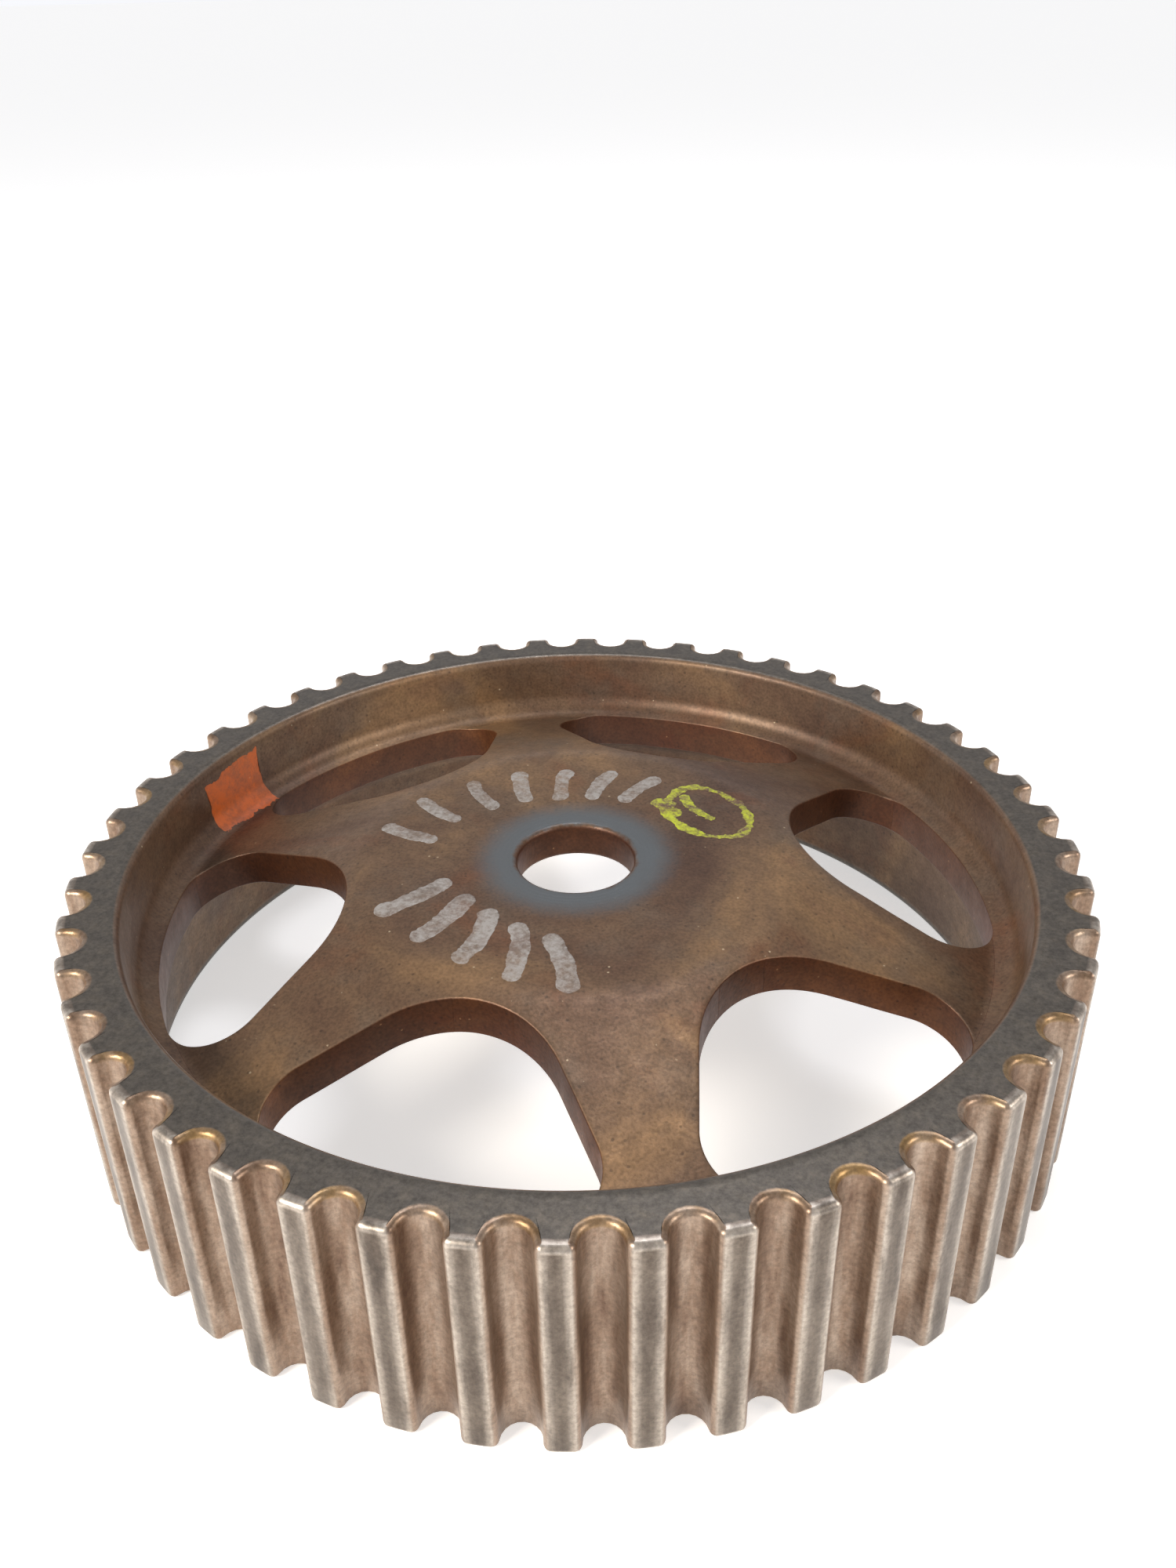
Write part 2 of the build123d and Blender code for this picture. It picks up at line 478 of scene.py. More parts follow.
def closed_tube(name, loops):
    """A piece from a stack of closed loops, with its first and last loop capped."""
    rows, columns = loops.shape[:2]
    first = np.arange(columns)
    faces = grid_faces(rows, columns, wrap_rows=False)
    return make_piece(name, loops, faces, [first[::-1], (rows - 1) * columns + first])


def mark(piece, name, values):
    """Stores one number for each point of a piece, which its material can read."""
    layer = piece.data.attributes.new(name, "FLOAT", "POINT")
    layer.data.foreach_set("value", np.asarray(values, dtype=np.float32).ravel())

# %% [markdown]
# ## Toothed rim
# On the real pulley the die shapes the whole tooth ring at once: half-round grooves for the
# belt's teeth, flat lands between them, and every edge slightly round from tumbling. A lofted or
# bevelled solid would need thousands of edge bevels to agree. Here one closed loop of rows goes
# round the rim's section, up the teeth, over the front, down the inner wall and back, with 24
# points to a tooth.

# %% Outline of one tooth and its neighbours
HALF_TOOTH = 13


def tooth_outline():
    """Points and outward normals right round the teeth.

    Half a pitch is half of the groove's arc, then a round lip, then half the land. The lip's centre
    lies where the lip is tangent both to the groove's circle and to the circle of the tips.
    The other half is its mirror image, and the pair is turned to every tooth.
    """
    groove = np.array([ROOT + GROOVE_RADIUS, 0.0])
    lip_reach, spread = TIP - TIP_ROUND, GROOVE_RADIUS + TIP_ROUND
    turn = math.acos((groove[0] ** 2 + lip_reach**2 - spread**2) / (2 * groove[0] * lip_reach))
    lip = lip_reach * np.array([math.cos(turn), math.sin(turn)])
    to_lip = math.atan2(*(lip - groove)[::-1])
    spans = (
        np.linspace(math.pi, to_lip, 6)[:-1],
        np.linspace(to_lip - math.pi, turn, 6)[:-1],
        np.linspace(turn, math.pi / TEETH, 3),
    )
    one, two, three = (np.stack([np.cos(a), np.sin(a)], axis=1) for a in spans)
    points = np.concatenate([groove + one * GROOVE_RADIUS, lip + two * TIP_ROUND, three * TIP])
    normals = np.concatenate([-one, two, three])
    flip = np.array([1.0, -1.0])
    points = np.concatenate([points, (points * flip)[-2:0:-1]])
    normals = np.concatenate([normals, (normals * flip)[-2:0:-1]])
    # The mirrored half belongs to the far side of the land, one pitch on.
    step = 2 * math.pi / TEETH
    shift = np.where(np.arange(len(points)) < HALF_TOOTH, 0, 1) * step
    turns = (np.arange(TEETH) * step)[:, None] + shift
    return [np.stack([
        flat[:, 0] * np.cos(turns) - flat[:, 1] * np.sin(turns),
        flat[:, 0] * np.sin(turns) + flat[:, 1] * np.cos(turns),
    ], axis=-1).reshape(-1, 2) for flat in (points, normals)]


outline, outward = tooth_outline()
COLUMNS = len(outline)
round_angles = np.arange(COLUMNS) * 2 * math.pi / COLUMNS
reach = np.hypot(*outline.T)
print("outline", COLUMNS, "points, radius", reach.min().round(2), "to", reach.max().round(2))

# %% Where the rim's ledge ends, at each angle
def ledge_end(angle):
    """Radius of the ledge's inner end: a window's outer edge, its corner, or a spoke's joint."""
    local = from_window(angle)
    bend = local - CORNER_ANGLE
    inside = np.clip(CORNER**2 - (CORNER_REACH * np.sin(bend)) ** 2, 0, None)
    corner = CORNER_REACH * np.cos(bend) + np.sqrt(inside)
    return np.where(local < CORNER_ANGLE, WINDOW_OUTER, np.maximum(corner, RIM_JOINT))


ledge = ledge_end(round_angles)
print("ledge ends between", ledge.min().round(3), "and", ledge.max().round(3))

# %% Rows round the rim's section
rim_rows, rim_tags = [], []


def row_of_teeth(inset, height, tag):
    """The tooth outline moved in along its normals, at one height."""
    moved = outline - outward * inset
    rim_rows.append(np.column_stack([moved, np.full(COLUMNS, height)]))
    rim_tags.append(tag)


def row_of_radius(radius, height, tag):
    """A ring at a radius and a height, each one number or one for each column."""
    radius, height = np.broadcast_to(radius, COLUMNS), np.broadcast_to(height, COLUMNS)
    rim_rows.append(np.column_stack([
        radius * np.cos(round_angles), radius * np.sin(round_angles), height,
    ]))
    rim_tags.append(tag)


def row_between(share, mouth, height):
    """A row on the rim's face, part of the way from the inset outline to the bevel at the mouth."""
    start = outline - outward * LIP
    end = mouth * np.column_stack([np.cos(round_angles), np.sin(round_angles)])
    rim_rows.append(np.column_stack([start + (end - start) * share, np.full(COLUMNS, height)]))
    rim_tags.append(TAG_FACE)


TAG_TEETH, TAG_LIP, TAG_FACE, TAG_WALL = 0, 1, 2, 3
quarter = np.radians([0, 22, 45, 68, 90])
for height in np.linspace(LIP, RIM_WIDTH - LIP, 9):
    row_of_teeth(0, height, TAG_TEETH)
for angle in quarter[1:]:
    row_of_teeth(LIP * (1 - math.cos(angle)), RIM_WIDTH - LIP * (1 - math.sin(angle)), TAG_LIP)
for share in (0.1, 0.5, 0.88):
    row_between(share, MOUTH + MOUTH_BEVEL, RIM_WIDTH)
for angle in quarter:
    row_of_radius(
        MOUTH + MOUTH_BEVEL * (1 - math.sin(angle)),
        RIM_WIDTH - MOUTH_BEVEL * (1 - math.cos(angle)),
        TAG_WALL if angle > 0.5 else TAG_FACE,
    )
centre, _, head = FRONT_FILLET
mouth_point = np.array([MOUTH, RIM_WIDTH - MOUTH_BEVEL])
for share in (0.06, 0.3, 0.6, 0.85):
    row_of_radius(*(mouth_point + (head - mouth_point) * share), TAG_WALL)

first = math.atan2(*(head - centre)[::-1])
last = -np.arccos((ledge + EDGE - centre[0]) / RIM_FILLET)
for share in np.linspace(0, 1, 14):
    bend = first + (last - first) * share
    across, along = RIM_FILLET * np.cos(bend), RIM_FILLET * np.sin(bend)
    row_of_radius(centre[0] + across, centre[1] + along, TAG_WALL)
for share in (0.75, 0.5, 0.28, 0.12, 0.0):
    radius = ledge + EDGE * share
    row_of_radius(radius, front_height(radius), TAG_WALL)
row_of_radius(ledge, (front_height(ledge) + back_height(ledge)) / 2, TAG_WALL)
centre, foot, head = BACK_FILLET
for share in (0.0, 0.12, 0.28, 0.5, 0.75):
    radius = ledge + EDGE * share
    row_of_radius(radius, back_height(radius), TAG_WALL)
for point in arc(centre, foot, head, 9)[1:]:
    row_of_radius(point[0], point[1], TAG_WALL)
back_point = np.array([BACK_MOUTH, MOUTH_BEVEL])
for share in (0.3, 0.6, 0.94):
    row_of_radius(*(head + (back_point - head) * share), TAG_WALL)
for angle in quarter[::-1]:
    row_of_radius(
        BACK_MOUTH + MOUTH_BEVEL * (1 - math.sin(angle)),
        MOUTH_BEVEL * (1 - math.cos(angle)),
        TAG_FACE,
    )
for share in (0.85, 0.12):
    row_between(share, BACK_MOUTH + MOUTH_BEVEL, 0.0)
for angle in quarter[:0:-1]:
    row_of_teeth(LIP * (1 - math.cos(angle)), LIP * (1 - math.sin(angle)), TAG_LIP)
print(len(rim_rows), "rows,", 2 * len(rim_rows) * COLUMNS, "triangles")

# %% Skin, eased window edges and the finished rim
rim_points = np.stack(rim_rows)
tags = np.array(rim_tags)
flat_x, flat_y, heights = np.moveaxis(rim_points, -1, 0)
INSIDE_WEB = WALL_BACK + 3.2
on_wall = (tags == TAG_WALL)[:, None]
edge_drop = eased(window_gap(flat_x, flat_y))
on_front, on_back = skin(flat_x, flat_y) - edge_drop, skin(flat_y, flat_x) + edge_drop
lift = np.where(heights > INSIDE_WEB, on_front, on_back)
middle_row = np.abs(heights - (front_height(ledge) + back_height(ledge)) / 2) < 0.01
rim_points[..., 2] += np.where(on_wall & ~middle_row, lift, 0.0)

toothed_rim = make_piece("rim_with_teeth", rim_points, grid_faces(len(rim_rows), COLUMNS))
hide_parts("toothed_rim")

# %% [markdown]
# ## Hub
# A round plate with the bore through it. A polar grid suits it: rings of points from the bore's
# front edge across the plate to its outer end, down the side, back under and up the bore. The
# outer end is the joint to the spokes, except where a window's nose bites into it.

# %% Hub
def hub_end(angle):
    """Outer radius of the hub: its joint circle, or the window's nose where that is nearer."""
    local = from_window(angle)
    bite = np.clip(NOSE**2 - (NOSE_CENTRE * np.sin(local)) ** 2, 0, None)
    nose = NOSE_CENTRE * np.cos(local) - np.sqrt(bite)
    return np.where(bite > 0, np.minimum(HUB_JOINT, nose), HUB_JOINT)


HUB_COLUMNS = 720
hub_angles = np.arange(HUB_COLUMNS) * 2 * math.pi / HUB_COLUMNS
hub_outer = hub_end(hub_angles)
inward = np.array([0, 0.02, 0.06, 0.12, 0.2, EDGE, 0.55, 0.9, 1.3, 1.8])
bevel = np.radians([0, 30, 60, 90])
bore_rows = [(
    np.full(HUB_COLUMNS, BORE + BORE_BEVEL * (1 - math.sin(a))), BORE_BEVEL * (1 - math.cos(a)),
) for a in bevel[::-1]]
flat_start = BORE + BORE_BEVEL
spans = np.linspace(0, 1, 30)[1:]
plate_rows = [flat_start + (hub_outer - inward[-1] - flat_start) * share for share in spans]
plate_rows += [hub_outer - gap for gap in inward[-2::-1]]


def ring_on(surface, radius, drop=0.0):
    """A ring of the hub's points at given radii, a drop below the web's front or back surface."""
    x, y = radius * np.cos(hub_angles), radius * np.sin(hub_angles)
    return np.stack([x, y, surface(x, y) - drop], axis=1)


def hub_side(surface, direction):
    """Rings from the bore's wall out to the hub's end, on the front (direction 1) or back (-1)."""
    rings = [ring_on(surface, radius, direction * drop) for radius, drop in bore_rows]
    return rings + [ring_on(surface, radius) for radius in plate_rows]


front_rings, back_rings = hub_side(web_front, 1), hub_side(web_back, -1)
middle_ring = (front_rings[-1] + back_rings[-1]) / 2
bore_ring = (front_rings[0] + back_rings[0]) / 2
hub_points = np.stack(front_rings + [middle_ring] + back_rings[::-1] + [bore_ring])
hub_plate = make_piece("hub_plate", hub_points, grid_faces(len(hub_points), HUB_COLUMNS))
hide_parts("hub")

# %% [markdown]
# ## Spokes
# A spoke is the web that the windows leave: narrow in the middle, flared at both ends. Each is a
# stack of closed loops, one at each radius, whose two ends lie on the neighbouring windows'
# edges.

# %% Spokes
near_edge = np.array([0, 0.02, 0.06, 0.12, 0.2, EDGE, 0.6, 1.2])
along_spoke = np.concatenate([
    HUB_JOINT + np.array([0, 0.06, 0.14, 0.25, 0.4, 0.6, 0.85]),
    np.linspace(HUB_JOINT + 1.15, RIM_JOINT - 1.1, 56),
    RIM_JOINT - np.array([0.85, 0.6, 0.4, 0.25, 0.14, 0.06, 0]),
])


def spoke_loops(middle):
    """Loops of points for a spoke: across its front, down a side, back across and up the other.

    Across the spoke the angle runs between the two window edges, with points crowded at the edges
    where the surface eases over.
    """
    half = SIXTH / 2 - window_half_angle(along_spoke)
    crowd = near_edge[None, :] / (along_spoke * half)[:, None]
    inner = np.linspace(-1, 1, 27)[None, 1:-1] * (1 - crowd[:, -1:])
    across = np.concatenate([-1 + crowd, inner, 1 - crowd[:, ::-1]], axis=1)
    angle = middle + across * half[:, None]
    x, y = along_spoke[:, None] * np.cos(angle), along_spoke[:, None] * np.sin(angle)
    over = np.stack([x, y, web_front(x, y)], axis=-1)
    under = np.stack([x, y, web_back(x, y)], axis=-1)[:, ::-1]
    down = (over[:, -1:] + under[:, :1]) / 2
    rise = (over[:, :1] + under[:, -1:]) / 2
    return np.concatenate([over, down, under, rise], axis=1)


spokes = []
for number in range(1, SPOKES + 1):
    spoke = closed_tube(f"web_spoke_{number}", spoke_loops((number - 1) * SIXTH))
    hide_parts(f"spoke_{number}")
    spokes.append(spoke)

# %% [markdown]
# ## Marker paint
# Someone dabbed the pulley with paint at a rebuild: two rows of silver dabs on the web, a
# yellow-green scribble by the bore and an orange patch inside the rim. Paint has a thickness,
# catches light at its edge and starves as the brush runs dry, so each dab is a thin closed ribbon
# lying on the steel. The dabs here are plain strokes with no meaning.

# %% A brush stroke on the web
PAINT = 0.05
LIFT = 0.01
SUNK = 0.04
ACROSS = np.array([-1, -0.96, -0.85, -0.6, -0.3, 0, 0.3, 0.6, 0.85, 0.96, 1])
brush = np.random.default_rng(21)


def ragged(count, rough):
    """A slowly wandering edge: random steps, each the mean of nine neighbours."""
    return np.convolve(brush.normal(0, rough, count + 8), np.ones(9) / 9, mode="valid") * 2.2


def brush_stroke(name, path, width, taper=0.25, rough=0.14):
    """A ribbon along a path of points in the plane, laid on the web.

    Its half width is the given one, eased in and out at the ends and roughened on each side. Loops
    of points cross it over the top and back underneath, just inside the steel.
    """
    path = np.array(path, dtype=float)
    length = np.concatenate([[0], np.cumsum(np.hypot(*np.diff(path, axis=0).T))])
    count = max(24, int(length[-1] / 0.25))
    run = np.linspace(0, length[-1], count)
    line = np.stack([np.interp(run, length, path[:, k]) for k in (0, 1)], axis=1)
    ahead = np.gradient(line, axis=0)
    ahead /= np.linalg.norm(ahead, axis=1)[:, None]
    across = np.stack([-ahead[:, 1], ahead[:, 0]], axis=1)
    ease = np.clip(np.minimum(run, run[-1] - run) / (taper * width * 2), 0, 1)
    half = width / 2 * np.sqrt(np.clip(1 - (1 - ease) ** 2, 0.02, 1))
    left = half * (1 + ragged(count, rough))
    right = half * (1 + ragged(count, rough))
    reach = np.where(ACROSS < 0, left[:, None] * ACROSS, right[:, None] * ACROSS)
    spots = line[:, None, :] + across[:, None, :] * reach[..., None]
    steel = web_front(spots[..., 0], spots[..., 1])
    coat = PAINT * (1 - np.abs(ACROSS) ** 6) * (0.6 + 0.4 * ease)[:, None]
    over = np.concatenate([spots, (steel + LIFT + coat)[..., None]], axis=-1)
    under = np.concatenate([spots, (steel - SUNK)[..., None]], axis=-1)[:, ::-1]
    made = closed_tube(name, np.concatenate([over, under], axis=1))
    return made


def on_web(radius, azimuth):
    """A point of the plane from its distance to the axis and its azimuth in degrees."""
    turn = math.radians(azimuth)
    return np.array([radius * math.cos(turn), radius * math.sin(turn)])


def dab(radius, azimuth, lean, length, bend=0.0):
    """The path of one dab: a straight run at a lean to the radius, bowed sideways by a little."""
    middle = on_web(radius, azimuth)
    run = on_web(1, azimuth + lean)
    side = np.array([-run[1], run[0]])
    t = np.linspace(-1, 1, 21)[:, None]
    return middle + run * t * length / 2 + side * bend * (1 - t**2)


# Each row: the dabs' places (radius, azimuth), their lean, length and width.
rows_of_dabs = [
    (((25.8, 184), (25.0, 167), (22.8, 149), (21.6, 132), (20.4, 115), (20.4, 98), (21.0, 81)),
     -12, 9.5, 2.4),
    (((24.6, -138), (23.2, -122), (22.8, -106), (23.4, -90), (24.6, -75)), 18, 12.5, 2.8),
]
silver_dabs = []
for row, (places, lean, length, width) in enumerate(rows_of_dabs, 1):
    for number, (radius, azimuth) in enumerate(places, 1):
        path = dab(radius, azimuth, lean, length, 0.7)
        silver_dabs.append(brush_stroke(f"silver_dab_{row}_{number}", path, width))

# %% The yellow-green scribble
t = np.linspace(-0.3, 2 * math.pi + 0.5, 80)
long_way = np.outer(7.6 * np.cos(t), on_web(1, 50 + 90))
short_way = np.outer(np.sin(t) * 4.9 * (1 + 0.04 * t), on_web(1, 50))
oval = on_web(23.4, 50) + long_way + short_way
scribble = [
    brush_stroke("green_scribble_oval", oval, 1.4, rough=0.5),
    brush_stroke("green_scribble_bar", dab(23.0, 55, 85, 8.5, 0.9), 1.3, rough=0.5),
    brush_stroke("green_scribble_rub", dab(19.4, 63, 80, 6.0, 0.3), 2.0, rough=0.6),
]

# %% The orange patch inside the rim
def inner_wall(depth):
    """Radius and height at a depth down the rim's inner wall, which ends along the fillet's arc."""
    centre, _, head = FRONT_FILLET
    straight = np.linalg.norm(head - mouth_point)
    share = np.clip(depth / straight, 0, 1)[..., None]
    bend = math.atan2(*(head - centre)[::-1]) - np.clip(depth - straight, 0, None) / RIM_FILLET
    curve = centre + RIM_FILLET * np.stack([np.cos(bend), np.sin(bend)], axis=-1)
    wall = mouth_point + (head - mouth_point) * share
    return np.where((depth > straight)[..., None], curve, wall)


u = np.linspace(0, 1, 60)[:, None]
v = np.linspace(0, 1, 24)[None, :]
starts = 0.3 + np.abs(ragged(60, 0.35))[:, None] * 1.2 + 0.9 * u
stops_at = 11.4 + ragged(60, 0.35)[:, None] * 1.4 - 1.6 * np.abs(u - 0.45)
depths = starts + (stops_at - starts) * v
spread = np.radians(167.9 + 11.6 * u + ragged(24, 0.4)[None, :] * (u - 0.5))
spots = inner_wall(depths)
thick = PAINT * (1 - np.abs(2 * u - 1) ** 8) * (1 - np.abs(2 * v - 1) ** 8)


def wall_sheet(lift):
    """Points of the patch lifted off the wall towards the axis by a thickness."""
    radius = spots[..., 0] - lift
    return np.stack([radius * np.cos(spread), radius * np.sin(spread), spots[..., 1]], axis=-1)


over, under = wall_sheet(LIFT + thick), wall_sheet(-SUNK)
orange_patch = closed_tube("orange_patch", np.concatenate([over, under[:, ::-1]], axis=1))

# %% [markdown]
# ## Marks for the rim's finishes
# The belt polishes the lands and their edges, oil varnish gathers in the grooves, and the end
# faces were ground. Each finish follows the surface, so the rim carries a number at every point
# for the lands, their worn edges, the lips of the grooves, the faces and the inner wall, and the
# material reads those. One more number marks the ledge's upright wall at the windows, which is
# darkened as painted shade.

# %% Marks on the rim
def round_the_teeth(half):
    """Thirteen numbers from the groove's middle to the land's, mirrored, for every tooth."""
    return np.tile(np.concatenate([half, half[-2:0:-1]]), TEETH)


land = round_the_teeth([0, 0, 0, 0, 0, 0, 0, 0, 0, 0.5, 1, 1, 1])
worn_edge = round_the_teeth([0, 0, 0, 0, 0, 0, 0, 0, 0.2, 1, 0.7, 0.1, 0])
groove = round_the_teeth([1, 1, 1, 0.9, 0.7, 0.4, 0.2, 0.1, 0, 0, 0, 0, 0])
everywhere = np.ones(COLUMNS)
on_lip = (tags == TAG_LIP)[:, None]
on_teeth = on_lip | (tags == TAG_TEETH)[:, None]
NEAR_LEDGE = 0.07
on_ledge = on_wall & (np.abs(np.hypot(flat_x, flat_y) - ledge) < NEAR_LEDGE)
mark(toothed_rim, "land", on_teeth * land)
mark(toothed_rim, "worn_edge", on_teeth * worn_edge + on_lip * land * 0.8)
mark(toothed_rim, "lip", on_lip * groove)
mark(toothed_rim, "face", (tags == TAG_FACE)[:, None] * everywhere)
mark(toothed_rim, "inner", on_wall * everywhere)
# Painted shade: this mark darkens and reddens the ledge's upright wall at the windows.
mark(toothed_rim, "window_wall_shade", on_ledge * everywhere)
print("lands cover", f"{land.mean():.0%}", "of the outline; grooves", f"{groove.mean():.0%}")

# %% [markdown]
# ## Oil-stained sintered steel
# Sintered iron is full of tiny pores that soak up oil. Years of hot oil leave a brown varnish,
# thin enough for the metal to shine through: ochre where it is thinnest, red-brown where it has
# begun to rust, dark where oil pooled. So the base is a metal whose colour wanders over 10 to 40
# mm, mottled at 1 to 3 mm, and pricked with pores of a quarter of a millimetre, drawn a little
# coarser than the real 0.1 mm to show.

# %% The stain pattern
BLEND = {"data_type": "RGBA"}
MULTIPLY = {"data_type": "RGBA", "blend_type": "MULTIPLY"}


def scale_for(size_mm):
    """Noise frequency, in cells to the metre, whose patches are about this many mm across."""
    return 1000.0 / size_mm


def stained_steel(tree, wall=0.0):
    """Place, colour, roughness, height and mottle of the stained skin.

    All come from the object's own coordinates. The wall is a mask, 1 on the windows' upright walls,
    where the colour is painted darker and redder as painted shade.
    """
    place = add(tree, "ShaderNodeTexCoord", out="Object")
    drift = add(tree, "ShaderNodeMapping", {"Vector": place, "Location": (0.031, 0.017, 0.0)})
    pools = add(tree, "ShaderNodeTexNoise", {
        "Vector": drift, "Scale": scale_for(34),
        "Detail": 5.0, "Roughness": 0.55, "Distortion": 0.7,
    })
    varnish = add(tree, "ShaderNodeValToRGB", {0: pools}, stops=[
        (0.34, "#553e30"), (0.44, "#634b39"), (0.54, "#6d5540"), (0.66, "#87694a"),
        (0.76, "#735540"),
    ])
    rust_shape = add(tree, "ShaderNodeTexNoise", {
        "Vector": place, "Scale": scale_for(17),
        "Detail": 8.0, "Roughness": 0.62, "Distortion": 0.4,
    })
    rust_mask = add(tree, "ShaderNodeMapRange", {
        "Value": rust_shape, "From Min": 0.54, "From Max": 0.72, "To Max": 0.6,
    })
    rusted = add(tree, "ShaderNodeMix", {
        0: rust_mask, 6: varnish, 7: linear("#70442a"),
    }, 2, **BLEND)
    grey_shape = add(tree, "ShaderNodeTexNoise", {
        "Vector": drift, "Scale": scale_for(12), "Detail": 6.0, "Roughness": 0.6,
    })
    grey_mask = add(tree, "ShaderNodeMapRange", {
        "Value": grey_shape, "From Min": 0.52, "From Max": 0.72, "To Max": 0.5,
    })
    greyed = add(tree, "ShaderNodeMix", {0: grey_mask, 6: rusted, 7: linear("#66594c")}, 2, **BLEND)
    mottle = add(tree, "ShaderNodeTexNoise", {
        "Vector": place, "Scale": scale_for(2.2), "Detail": 7.0, "Roughness": 0.7,
    })
    mottle_tone = add(tree, "ShaderNodeMapRange", {
        "Value": mottle, "From Min": 0.3, "From Max": 0.7, "To Min": 0.8, "To Max": 1.16,
    })
    mottled = add(tree, "ShaderNodeMix", {0: 1.0, 6: greyed, 7: mottle_tone}, 2, **MULTIPLY)
    grain = add(tree, "ShaderNodeTexNoise", {
        "Vector": place, "Scale": scale_for(0.45), "Detail": 2.0,
    })
    grain_tone = add(tree, "ShaderNodeMapRange", {
        "Value": grain, "From Min": 0.3, "From Max": 0.62, "To Min": 0.72, "To Max": 1.06,
    })
    grained = add(tree, "ShaderNodeMix", {0: 1.0, 6: mottled, 7: grain_tone}, 2, **MULTIPLY)
    cells = add(tree, "ShaderNodeTexVoronoi", {
        "Vector": place, "Scale": scale_for(1.6), "Randomness": 1.0,
    })
    pore = add(tree, "ShaderNodeMapRange", {
        "Value": cells, "From Min": 0.09, "From Max": 0.17, "To Min": 0.55,
    })
    dust_and_shade = add(tree, "ShaderNodeMix", {0: pore, 6: linear("#2b221b"), 7: grained}, 2, **BLEND)
    far_cells = add(tree, "ShaderNodeTexVoronoi", {
        "Vector": drift, "Scale": scale_for(2.6), "Randomness": 1.0,
    })
    grit = add(tree, "ShaderNodeMapRange", {
        "Value": far_cells, "From Min": 0.045, "From Max": 0.075, "To Min": 0.7, "To Max": 0.0,
    })
    some = add(tree, "ShaderNodeMapRange", {"Value": mottle, "From Min": 0.5, "From Max": 0.56})
    speck = add(tree, "ShaderNodeMath", {0: grit, 1: some}, operation="MULTIPLY")
    dust_and_shade = add(tree, "ShaderNodeMix", {0: speck, 6: dust_and_shade, 7: linear("#c2b092")}, 2, **BLEND)
    # Painted shade: the wall mask darkens and reddens the colour on upright walls and eased edges.
    dust_and_shade = add(tree, "ShaderNodeMix", {0: wall, 6: dust_and_shade, 7: linear("#d0a88f")}, 2, **MULTIPLY)
    rough = add(tree, "ShaderNodeMapRange", {
        "Value": mottle, "From Min": 0.3, "From Max": 0.7, "To Min": 0.5, "To Max": 0.38,
    })
    depth = add(tree, "ShaderNodeMath", {0: grain, 1: pore}, operation="MULTIPLY")
    return place, dust_and_shade, rough, depth, mottle

# %% Finish of the web, with the ring that the bolt's washer burnished
RING_FULL, RING_END = 10.8, 16.2
LATHE_RATE = 9000.0  # radians to the metre: the washer's scratches lie 0.7 mm apart


def web_finish(name):
    """Stained steel, with painted shade darkening and reddening the windows' upright walls and
    eased edges; a ring round the bore is rubbed to grey metal.

    The walls are where the normal has little height, and the ring goes by distance to the axis.
    """
    material, tree = new_material(name)
    facing = add(tree, "ShaderNodeNewGeometry", out="Normal")
    tilt = add(tree, "ShaderNodeSeparateXYZ", {0: facing}, out="Z")
    upright = add(tree, "ShaderNodeMath", {0: tilt}, operation="ABSOLUTE")
    # Painted shade: 1 where the normal turns upright, from the rounding of the eased edges down the
    # walls.
    wall = add(tree, "ShaderNodeMapRange", {"Value": upright, "From Min": 0.9, "From Max": 0.4})
    place, colour, rough, depth, mottle = stained_steel(tree, wall)
    flat = add(tree, "ShaderNodeVectorMath", {0: place, 1: (1.0, 1.0, 0.0)}, operation="MULTIPLY")
    radius = add(tree, "ShaderNodeVectorMath", {0: flat}, out="Value", operation="LENGTH")
    wander = add(tree, "ShaderNodeMath", {0: mottle, 1: 0.002, 2: -0.001}, operation="MULTIPLY_ADD")
    edge = add(tree, "ShaderNodeMath", {0: radius, 1: wander}, operation="ADD")
    burnish = add(tree, "ShaderNodeMapRange", {
        "Value": edge, "From Min": RING_END * MM, "From Max": RING_FULL * MM, "To Max": 0.92,
    }, interpolation_type="SMOOTHSTEP")
    height = add(tree, "ShaderNodeSeparateXYZ", {0: place}, out="Z")
    above = add(tree, "ShaderNodeMapRange", {
        "Value": height, "From Min": (HUB_FRONT - 0.75) * MM, "From Max": (HUB_FRONT - 0.2) * MM,
    })
    past_bore = add(tree, "ShaderNodeMapRange", {
        "Value": edge, "From Min": (BORE + 0.2) * MM, "From Max": (BORE + 0.8) * MM,
    })
    level = add(tree, "ShaderNodeMath", {0: above, 1: past_bore}, operation="MULTIPLY")
    ring = add(tree, "ShaderNodeMath", {0: burnish, 1: level}, operation="MULTIPLY")
    rubbed = add(tree, "ShaderNodeMix", {0: ring, 6: colour, 7: linear("#5b6165")}, 2, **BLEND)
    groove = add(tree, "ShaderNodeMath", {0: radius, 1: LATHE_RATE}, operation="MULTIPLY")
    turning = add(tree, "ShaderNodeMath", {0: groove}, operation="SINE")
    lathe = add(tree, "ShaderNodeMath", {0: turning, 1: ring}, operation="MULTIPLY")
    relief = add(tree, "ShaderNodeMath", {0: lathe, 1: 0.25, 2: depth}, operation="MULTIPLY_ADD")
    bump = add(tree, "ShaderNodeBump", {"Strength": 0.55, "Distance": 0.00005, "Height": relief})
    shader = add(tree, "ShaderNodeBsdfPrincipled", {
        "Base Color": rubbed, "Metallic": 0.5, "Roughness": rough, "Normal": bump,
    })
    add(tree, "ShaderNodeOutputMaterial", {"Surface": shader})
    return material


varnished = web_finish("oil_stained_sintered_steel")
for piece in [hub_plate] + spokes:
    piece.data.materials.append(varnished)
print("stained steel on", 1 + len(spokes), "pieces")

# %% [markdown]
# ## Rim steel, polished by the belt
# The lands are bare steel, pale and pitted, with bright lines where their edges have worn. The
# grooves keep a brown varnish drawn out along the tooth, the end faces are ground blue-grey, and
# the grooves' lips hold a rim of ochre rust. The marks choose between them, and noise breaks up
# the worn edges.

